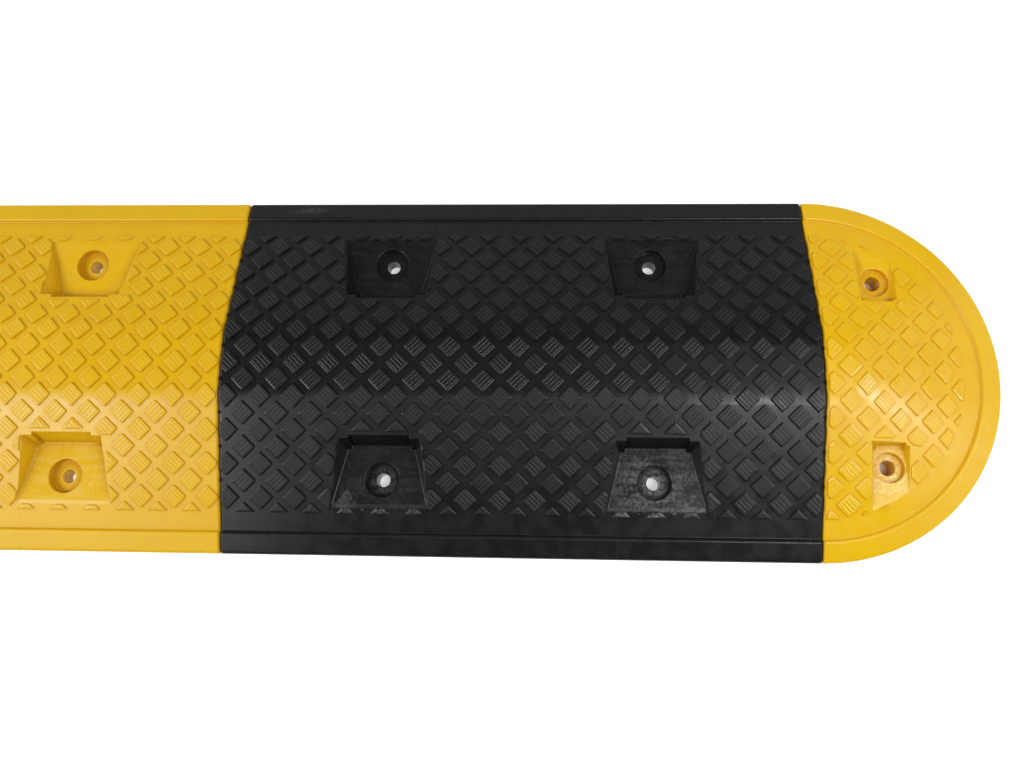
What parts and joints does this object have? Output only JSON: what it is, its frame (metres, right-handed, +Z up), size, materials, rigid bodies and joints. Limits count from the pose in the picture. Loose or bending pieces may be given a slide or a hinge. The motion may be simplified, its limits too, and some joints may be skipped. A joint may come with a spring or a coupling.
{
  "type": "speed ramp",
  "caption": "Modular speed ramp of yellow and black moulded sections with half-round end caps, ribbed diamond tread and bolt pockets, laid across a road to slow traffic.",
  "frame": {"origin": "on the road, under the centre of the ramp", "axes": "+X along the ramp, +Y across it in the direction of travel, +Z up"},
  "size_m": [1.8166, 0.316, 0.0475],
  "materials": {
    "yellow_pvc": "moulded satin yellow",
    "black_pvc": "moulded satin black"
  },
  "bodies": {
    "end_cap_left": {"end_cap_left": "yellow_pvc"},
    "black_section_left": {"black_section_left": "black_pvc"},
    "yellow_section_middle": {"yellow_section_middle": "yellow_pvc"},
    "black_section_right": {"black_section_right": "black_pvc"},
    "end_cap_right": {"end_cap_right": "yellow_pvc"}
  },
  "joints": [
    {"name": "lift_black_section_left", "type": "slide", "parent": "end_cap_left", "child": "black_section_left", "axis": [0, 0, 1], "range_m": [0, 0.06]},
    {"name": "lift_yellow_section_middle", "type": "slide", "parent": "black_section_left", "child": "yellow_section_middle", "axis": [0, 0, 1], "range_m": [0, 0.06]},
    {"name": "lift_black_section_right", "type": "slide", "parent": "yellow_section_middle", "child": "black_section_right", "axis": [0, 0, 1], "range_m": [0, 0.06]},
    {"name": "lift_end_cap_right", "type": "slide", "parent": "black_section_right", "child": "end_cap_right", "axis": [0, 0, 1], "range_m": [0, 0.06]}
  ]
}
